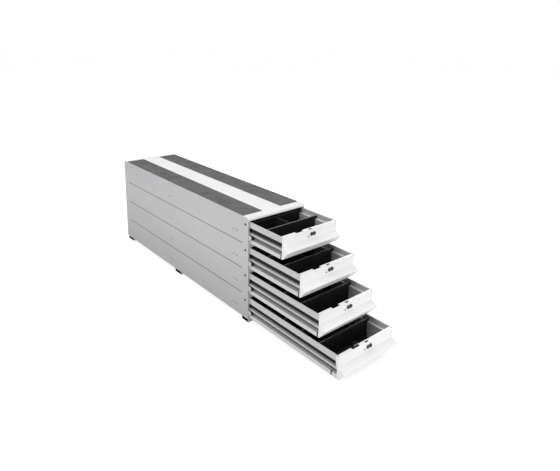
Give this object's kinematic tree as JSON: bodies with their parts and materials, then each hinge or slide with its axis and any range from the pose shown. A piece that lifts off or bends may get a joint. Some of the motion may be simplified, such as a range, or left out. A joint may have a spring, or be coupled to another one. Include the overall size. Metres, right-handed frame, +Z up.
{
  "type": "drawer unit",
  "caption": "Long, low steel cabinet with a stack of shallow drawers that roll out of its narrow end, each with a full-width pull, a latch tab, a key lock and black dividers.",
  "frame": {"origin": "middle of the rectangle of floor bolt holes, on the plane the skids stand on", "axes": "+Z up, -Y the way the drawers open, +X to the right of someone facing the drawers"},
  "size_m": [0.327, 1.7823, 0.485],
  "materials": {
    "shell_paint": "satin powder coat",
    "front_paint": "satin powder coat",
    "drawer_paint": "satin powder coat",
    "zinc": "zinc plated",
    "strip_rubber": "matte, ribbed along its length",
    "mat_rubber": "matte",
    "dark_bolt": "black zinc",
    "divider_plastic": "matte",
    "lock_plastic": "matte",
    "key_metal": "nickel plated",
    "latch_metal": "zinc plated",
    "roller_nylon": "moulded nylon"
  },
  "bodies": {
    "cabinet": {"side_left": "shell_paint", "side_right": "shell_paint", "top_cover": "shell_paint", "bottom_pan": "shell_paint", "back_panel": "shell_paint", "post_left": "shell_paint", "post_right": "shell_paint", "rails_left": "zinc", "rails_right": "zinc", "skid_front": "shell_paint", "skid_middle": "shell_paint", "skid_rear": "shell_paint", "strip_left": "strip_rubber", "strip_right": "strip_rubber", "panel_bolts": "dark_bolt", "rail_rivets": "zinc", "shelf_1": "shell_paint", "shelf_2": "shell_paint", "shelf_3": "shell_paint"},
    "drawer_1": {"drawer_1_sides": "drawer_paint", "drawer_1_tray": "drawer_paint", "drawer_1_front": "front_paint", "drawer_1_mat": "mat_rubber", "drawer_1_dividers": "divider_plastic", "drawer_1_lock": "lock_plastic"},
    "drawer_1_plug": {"drawer_1_plug": "key_metal"},
    "drawer_1_latch": {"drawer_1_latch": "latch_metal"},
    "drawer_1_front_rollers": {"drawer_1_front_rollers": "roller_nylon"},
    "drawer_1_rear_rollers": {"drawer_1_rear_rollers": "roller_nylon"},
    "drawer_2": {"drawer_2_sides": "drawer_paint", "drawer_2_tray": "drawer_paint", "drawer_2_front": "front_paint", "drawer_2_mat": "mat_rubber", "drawer_2_dividers": "divider_plastic", "drawer_2_lock": "lock_plastic"},
    "drawer_2_plug": {"drawer_2_plug": "key_metal"},
    "drawer_2_latch": {"drawer_2_latch": "latch_metal"},
    "drawer_2_front_rollers": {"drawer_2_front_rollers": "roller_nylon"},
    "drawer_2_rear_rollers": {"drawer_2_rear_rollers": "roller_nylon"},
    "drawer_3": {"drawer_3_sides": "drawer_paint", "drawer_3_tray": "drawer_paint", "drawer_3_front": "front_paint", "drawer_3_mat": "mat_rubber", "drawer_3_dividers": "divider_plastic", "drawer_3_lock": "lock_plastic"},
    "drawer_3_plug": {"drawer_3_plug": "key_metal"},
    "drawer_3_latch": {"drawer_3_latch": "latch_metal"},
    "drawer_3_front_rollers": {"drawer_3_front_rollers": "roller_nylon"},
    "drawer_3_rear_rollers": {"drawer_3_rear_rollers": "roller_nylon"},
    "drawer_4": {"drawer_4_sides": "drawer_paint", "drawer_4_tray": "drawer_paint", "drawer_4_front": "front_paint", "drawer_4_mat": "mat_rubber", "drawer_4_dividers": "divider_plastic", "drawer_4_lock": "lock_plastic"},
    "drawer_4_plug": {"drawer_4_plug": "key_metal"},
    "drawer_4_latch": {"drawer_4_latch": "latch_metal"},
    "drawer_4_front_rollers": {"drawer_4_front_rollers": "roller_nylon"},
    "drawer_4_rear_rollers": {"drawer_4_rear_rollers": "roller_nylon"}
  },
  "joints": [
    {"name": "drawer_1_slide", "type": "slide", "parent": "cabinet", "child": "drawer_1", "axis": [0, -1, 0], "range_m": [-0.19, 0.67]},
    {"name": "drawer_1_front_rollers_turn", "type": "hinge", "parent": "cabinet", "child": "drawer_1_front_rollers", "pos_m": [0, -0.617, 0.3987], "axis": [1, 0, 0], "continuous": true},
    {"name": "drawer_1_rear_rollers_turn", "type": "hinge", "parent": "drawer_1", "child": "drawer_1_rear_rollers", "pos_m": [0, 0.36, 0.42825], "axis": [1, 0, 0], "continuous": true},
    {"name": "drawer_1_key", "type": "hinge", "parent": "drawer_1", "child": "drawer_1_plug", "pos_m": [0.02, -0.819, 0.442], "axis": [0, 1, 0], "range_deg": [0, 90]},
    {"name": "drawer_1_latch_lift", "type": "slide", "parent": "drawer_1", "child": "drawer_1_latch", "axis": [0, 0, 1], "range_m": [0, 0.014]},
    {"name": "drawer_2_slide", "type": "slide", "parent": "cabinet", "child": "drawer_2", "axis": [0, -1, 0], "range_m": [-0.298, 0.562]},
    {"name": "drawer_2_front_rollers_turn", "type": "hinge", "parent": "cabinet", "child": "drawer_2_front_rollers", "pos_m": [0, -0.617, 0.2817], "axis": [1, 0, 0], "continuous": true},
    {"name": "drawer_2_rear_rollers_turn", "type": "hinge", "parent": "drawer_2", "child": "drawer_2_rear_rollers", "pos_m": [0, 0.252, 0.31125], "axis": [1, 0, 0], "continuous": true},
    {"name": "drawer_2_key", "type": "hinge", "parent": "drawer_2", "child": "drawer_2_plug", "pos_m": [0.02, -0.927, 0.325], "axis": [0, 1, 0], "range_deg": [0, 90]},
    {"name": "drawer_2_latch_lift", "type": "slide", "parent": "drawer_2", "child": "drawer_2_latch", "axis": [0, 0, 1], "range_m": [0, 0.014]},
    {"name": "drawer_3_slide", "type": "slide", "parent": "cabinet", "child": "drawer_3", "axis": [0, -1, 0], "range_m": [-0.406, 0.454]},
    {"name": "drawer_3_front_rollers_turn", "type": "hinge", "parent": "cabinet", "child": "drawer_3_front_rollers", "pos_m": [0, -0.617, 0.1647], "axis": [1, 0, 0], "continuous": true},
    {"name": "drawer_3_rear_rollers_turn", "type": "hinge", "parent": "drawer_3", "child": "drawer_3_rear_rollers", "pos_m": [0, 0.144, 0.19425], "axis": [1, 0, 0], "continuous": true},
    {"name": "drawer_3_key", "type": "hinge", "parent": "drawer_3", "child": "drawer_3_plug", "pos_m": [0.02, -1.035, 0.208], "axis": [0, 1, 0], "range_deg": [0, 90]},
    {"name": "drawer_3_latch_lift", "type": "slide", "parent": "drawer_3", "child": "drawer_3_latch", "axis": [0, 0, 1], "range_m": [0, 0.014]},
    {"name": "drawer_4_slide", "type": "slide", "parent": "cabinet", "child": "drawer_4", "axis": [0, -1, 0], "range_m": [-0.514, 0.346]},
    {"name": "drawer_4_front_rollers_turn", "type": "hinge", "parent": "cabinet", "child": "drawer_4_front_rollers", "pos_m": [0, -0.617, 0.0477], "axis": [1, 0, 0], "continuous": true},
    {"name": "drawer_4_rear_rollers_turn", "type": "hinge", "parent": "drawer_4", "child": "drawer_4_rear_rollers", "pos_m": [0, 0.036, 0.07725], "axis": [1, 0, 0], "continuous": true},
    {"name": "drawer_4_key", "type": "hinge", "parent": "drawer_4", "child": "drawer_4_plug", "pos_m": [0.02, -1.143, 0.091], "axis": [0, 1, 0], "range_deg": [0, 90]},
    {"name": "drawer_4_latch_lift", "type": "slide", "parent": "drawer_4", "child": "drawer_4_latch", "axis": [0, 0, 1], "range_m": [-0.014, 0]}
  ],
  "couplings": [
    {"joint": "drawer_1_front_rollers_turn", "follows": "drawer_1_slide", "rad_per_m": 100},
    {"joint": "drawer_1_rear_rollers_turn", "follows": "drawer_1_slide", "rad_per_m": 111.73},
    {"joint": "drawer_2_front_rollers_turn", "follows": "drawer_2_slide", "rad_per_m": 100},
    {"joint": "drawer_2_rear_rollers_turn", "follows": "drawer_2_slide", "rad_per_m": 111.73},
    {"joint": "drawer_3_front_rollers_turn", "follows": "drawer_3_slide", "rad_per_m": 100},
    {"joint": "drawer_3_rear_rollers_turn", "follows": "drawer_3_slide", "rad_per_m": 111.73},
    {"joint": "drawer_4_front_rollers_turn", "follows": "drawer_4_slide", "rad_per_m": 100},
    {"joint": "drawer_4_rear_rollers_turn", "follows": "drawer_4_slide", "rad_per_m": 111.73}
  ]
}
